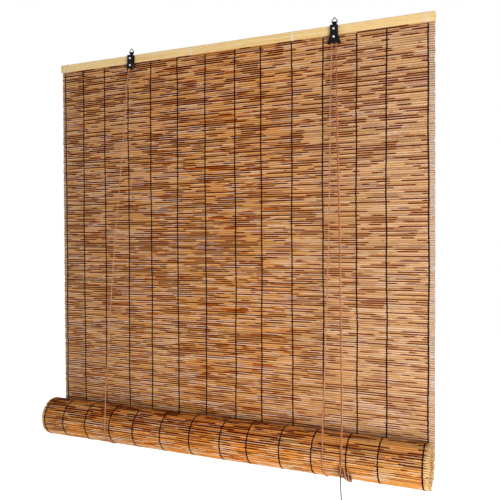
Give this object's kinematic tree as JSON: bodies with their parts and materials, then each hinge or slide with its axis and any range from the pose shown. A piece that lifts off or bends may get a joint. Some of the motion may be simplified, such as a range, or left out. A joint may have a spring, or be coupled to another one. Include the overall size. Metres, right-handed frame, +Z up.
{
  "type": "roll-up reed blind",
  "caption": "Partly lowered roll-up blind of thin reeds bound by thread, with a wooden head rail, hanging rings, a cord lock, lift cords and the lower end wound in a roll",
  "frame": {"origin": "middle of the head rail's back face, which lies against the wall or lintel", "axes": "+X along the rail to the right as seen from the room, +Y into the wall, +Z up"},
  "size_m": [1, 0.1176, 1.0831],
  "materials": {
    "rail_wood": "planed pale wood, thin clear coat",
    "white_tie": "white cotton thread",
    "reed": "carbonised reed stems with dark streaks, satin",
    "warp_thread": "dark waxed thread",
    "black_steel": "black paint, satin",
    "rivet_steel": "bright zinc",
    "pulley_steel": "plain steel",
    "lift_cord": "laid cord, salmon brown",
    "tail_string": "thin grey string"
  },
  "bodies": {
    "headrail": {"front_slat": "rail_wood", "back_slat": "rail_wood", "rail_ties": "white_tie", "reed_mat": "reed", "mat_threads": "warp_thread", "left_back_cheek": "black_steel", "left_front_cheek": "black_steel", "lock_back_plate": "black_steel", "lock_housing": "black_steel", "fixing_rivets": "rivet_steel", "axle_rivets": "rivet_steel", "cord_heads": "lift_cord", "left_front_cord": "lift_cord", "right_front_cord": "lift_cord", "left_back_cord": "lift_cord", "right_back_cord": "lift_cord", "pull_cord": "lift_cord"},
    "slings": {"cord_slings": "lift_cord", "cord_hank": "lift_cord", "cord_tail": "tail_string"},
    "roll": {"reed_roll": "reed", "roll_threads": "warp_thread", "bottom_rod": "rail_wood"},
    "left_ring": {"left_hang_ring": "black_steel"},
    "lock_ring": {"lock_hang_ring": "black_steel"},
    "left_wheel": {"left_pulley": "pulley_steel"},
    "lock_wheel": {"lock_pulley": "pulley_steel"}
  },
  "joints": [
    {"name": "roll_lift", "type": "slide", "parent": "headrail", "child": "slings", "axis": [0, 0, 1], "range_m": [0, 0.85], "deforming": ["reed_mat", "mat_threads", "left_front_cord", "right_front_cord", "left_back_cord", "right_back_cord", "pull_cord"]},
    {"name": "roll_turn", "type": "hinge", "parent": "slings", "child": "roll", "pos_m": [0, -0.056, -0.947], "axis": [1, 0, 0], "continuous": true},
    {"name": "left_pulley_spin", "type": "hinge", "parent": "headrail", "child": "left_wheel", "pos_m": [-0.266, -0.0218, -0.018], "axis": [0, 1, 0], "continuous": true},
    {"name": "lock_pulley_spin", "type": "hinge", "parent": "headrail", "child": "lock_wheel", "pos_m": [0.281, -0.0218, -0.018], "axis": [0, 1, 0], "continuous": true},
    {"name": "left_ring_swing", "type": "hinge", "parent": "headrail", "child": "left_ring", "pos_m": [-0.266, -0.01775, 0.0155], "axis": [1, 0, 0], "range_deg": [-90, 90]},
    {"name": "lock_ring_swing", "type": "hinge", "parent": "headrail", "child": "lock_ring", "pos_m": [0.281, -0.01775, 0.0155], "axis": [1, 0, 0], "range_deg": [-90, 90]}
  ],
  "couplings": [
    {"joint": "roll_turn", "follows": "roll_lift", "rad_per_m": -20},
    {"joint": "left_pulley_spin", "follows": "roll_lift", "rad_per_m": 307.69},
    {"joint": "lock_pulley_spin", "follows": "roll_lift", "rad_per_m": 444.44}
  ]
}
